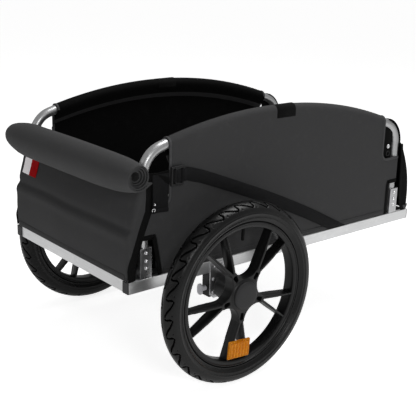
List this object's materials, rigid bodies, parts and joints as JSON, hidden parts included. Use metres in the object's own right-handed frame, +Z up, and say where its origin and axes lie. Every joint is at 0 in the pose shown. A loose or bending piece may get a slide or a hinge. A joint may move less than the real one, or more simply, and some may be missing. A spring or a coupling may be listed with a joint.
{
  "type": "bicycle cargo trailer",
  "caption": "Two-wheeled folding cargo trailer towed behind a bicycle: metal tube bed, arched fabric sides that fold flat, rolled cover, spoked wheels and a tow arm stowed under the bed.",
  "frame": {"origin": "on the ground, under the middle of the object's bounding box", "axes": "+X towards the bicycle that tows it, +Y to the trailer's left, +Z up"},
  "size_m": [0.9701, 0.636, 0.5735],
  "materials": {
    "bed_tube": "satin anodised",
    "grey_plastic": "matt moulded",
    "bracket_steel": "plated",
    "bright_steel": "bright zinc",
    "black_cloth": "coated woven cloth",
    "grey_cloth": "coated woven cloth",
    "webbing": "woven webbing",
    "black_plastic": "satin moulded",
    "wheel_plastic": "satin moulded",
    "tyre_rubber": "matt",
    "tube_rubber": "matt",
    "amber_lens": "ribbed, translucent",
    "reflective_strip": "reflective, half red and half white",
    "pale_plastic": "glossy"
  },
  "bodies": {
    "bed": {"side_rail_right": "bed_tube", "side_rail_left": "bed_tube", "rear_rail": "bed_tube", "front_rail": "bed_tube", "cross_rail": "bed_tube", "rail_plug_rear_right": "grey_plastic", "rail_plug_front_right": "grey_plastic", "rail_plug_rear_left": "grey_plastic", "rail_plug_front_left": "grey_plastic", "floor_panel": "black_cloth", "bracket_rear_right": "bracket_steel", "bracket_front_right": "bracket_steel", "bracket_rear_left": "bracket_steel", "bracket_front_left": "bracket_steel", "hinge_pin_rear_right": "bright_steel", "hinge_pin_front_right": "bright_steel", "hinge_pin_rear_left": "bright_steel", "hinge_pin_front_left": "bright_steel", "rear_panel": "grey_cloth", "front_panel": "black_cloth", "cover_roll": "grey_cloth", "rear_reflector": "reflective_strip", "axle_plate_right": "bracket_steel", "axle_receiver_right": "black_plastic", "axle_right": "bright_steel", "axle_nut_right": "bright_steel", "axle_plate_left": "bracket_steel", "axle_receiver_left": "black_plastic", "axle_left": "bright_steel", "axle_nut_left": "bright_steel", "tow_pivot_bracket": "bracket_steel"},
    "right_side": {"side_frame_right": "bed_tube", "side_panel_right": "grey_cloth", "side_strap_right": "webbing", "strap_buckle_right": "black_plastic", "corner_flap_right": "webbing"},
    "left_side": {"side_frame_left": "bed_tube", "side_panel_left": "grey_cloth", "side_strap_left": "webbing", "strap_buckle_left": "black_plastic", "corner_flap_left": "webbing"},
    "right_wheel": {"tyre_right": "tyre_rubber", "inner_tube_right": "tube_rubber", "wheel_right": "wheel_plastic", "hub_cap_right": "black_plastic", "hub_bush_right": "bright_steel", "wheel_reflector_right": "amber_lens"},
    "left_wheel": {"tyre_left": "tyre_rubber", "inner_tube_left": "tube_rubber", "wheel_left": "wheel_plastic", "hub_cap_left": "black_plastic", "hub_bush_left": "bright_steel", "wheel_reflector_left": "amber_lens"},
    "right_release": {"release_knob_right": "pale_plastic"},
    "left_release": {"release_knob_left": "pale_plastic"},
    "tow_arm": {"tow_arm_tube": "bed_tube", "tow_flex_joint": "tube_rubber"},
    "hitch": {"tow_hitch": "bracket_steel"},
    "hitch_pin": {"hitch_pin": "bright_steel"},
    "clamp_knob": {"arm_clamp_knob": "black_plastic"}
  },
  "joints": [
    {"name": "right_side_fold", "type": "hinge", "parent": "bed", "child": "right_side", "pos_m": [-0.008, -0.215, 0.308], "axis": [-1, 0, 0], "range_deg": [0, 90]},
    {"name": "left_side_fold", "type": "hinge", "parent": "bed", "child": "left_side", "pos_m": [-0.008, 0.215, 0.2745], "axis": [1, 0, 0], "range_deg": [0, 90]},
    {"name": "right_wheel_spin", "type": "hinge", "parent": "bed", "child": "right_wheel", "pos_m": [-0.2, -0.293, 0.2], "axis": [0, 1, 0], "continuous": true},
    {"name": "left_wheel_spin", "type": "hinge", "parent": "bed", "child": "left_wheel", "pos_m": [-0.2, 0.293, 0.2], "axis": [0, 1, 0], "continuous": true},
    {"name": "right_release_pull", "type": "slide", "parent": "bed", "child": "right_release", "axis": [-1, 0, 0], "range_m": [0, 0.005], "stiffness_N_per_m": 500, "springref_m": -0.004},
    {"name": "left_release_pull", "type": "slide", "parent": "bed", "child": "left_release", "axis": [-1, 0, 0], "range_m": [0, 0.005], "stiffness_N_per_m": 500, "springref_m": -0.004},
    {"name": "tow_arm_fold", "type": "hinge", "parent": "bed", "child": "tow_arm", "pos_m": [0.4655, 0.12, 0.2115], "axis": [0, -1, 0], "range_deg": [0, 190]},
    {"name": "hitch_yaw", "type": "hinge", "parent": "tow_arm", "child": "hitch", "pos_m": [-0.1596, 0.12, 0.2115], "axis": [0, 0, 1], "range_deg": [-30, 30]},
    {"name": "hitch_pin_slide", "type": "slide", "parent": "hitch", "child": "hitch_pin", "axis": [0, 0, -1], "range_m": [0, 0.03]},
    {"name": "clamp_knob_turn", "type": "hinge", "parent": "bed", "child": "clamp_knob", "pos_m": [0.4655, 0.1361, 0.2115], "axis": [0, 1, 0], "continuous": true}
  ]
}
